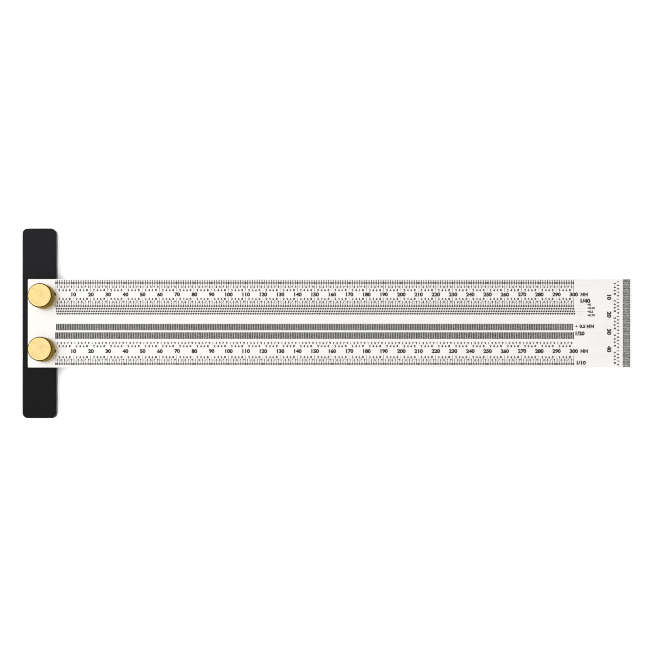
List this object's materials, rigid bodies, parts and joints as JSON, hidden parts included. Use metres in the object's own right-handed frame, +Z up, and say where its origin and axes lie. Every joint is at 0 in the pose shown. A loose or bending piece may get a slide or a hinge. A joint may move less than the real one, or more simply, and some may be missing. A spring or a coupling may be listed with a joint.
{
  "type": "t square",
  "caption": "Flat T square for marking out: a slotted, scaled steel blade clamped by thumb screws into a pocket in a black fence bar.",
  "frame": {"origin": "the corner that registers on a board: fence plane, blade underside and centreline of the blade", "axes": "+X along the blade away from the fence, +Y across the blade, +Z up out of the blade's scaled face"},
  "size_m": [0.3535, 0.11, 0.018],
  "materials": {
    "anodised_aluminium": "black anodised, satin",
    "stainless_steel": "satin, with black filled marks",
    "brass": "turned, bright face and knurled side",
    "plated_steel": "zinc plated"
  },
  "bodies": {
    "square": {"head": "anodised_aluminium", "blade": "stainless_steel"},
    "rear_washer": {"rear_washer": "plated_steel"},
    "rear_screw": {"rear_knob": "brass", "rear_stud": "plated_steel"},
    "front_washer": {"front_washer": "plated_steel"},
    "front_screw": {"front_knob": "brass", "front_stud": "plated_steel"}
  },
  "joints": [
    {"name": "rear_screw_rise", "type": "slide", "parent": "square", "child": "rear_washer", "axis": [0, 0, 1], "range_m": [0, 0.004]},
    {"name": "rear_screw_turn", "type": "hinge", "parent": "rear_washer", "child": "rear_screw", "pos_m": [-0.0074, 0.01535, 0], "axis": [0, 0, 1], "range_deg": [0, 1800]},
    {"name": "front_screw_rise", "type": "slide", "parent": "square", "child": "front_washer", "axis": [0, 0, 1], "range_m": [0, 0.004]},
    {"name": "front_screw_turn", "type": "hinge", "parent": "front_washer", "child": "front_screw", "pos_m": [-0.0074, -0.01535, 0], "axis": [0, 0, 1], "range_deg": [0, 1800]}
  ],
  "couplings": [
    {"joint": "rear_screw_rise", "follows": "rear_screw_turn", "m_per_rad": 0.00012732},
    {"joint": "front_screw_rise", "follows": "front_screw_turn", "m_per_rad": 0.00012732}
  ]
}
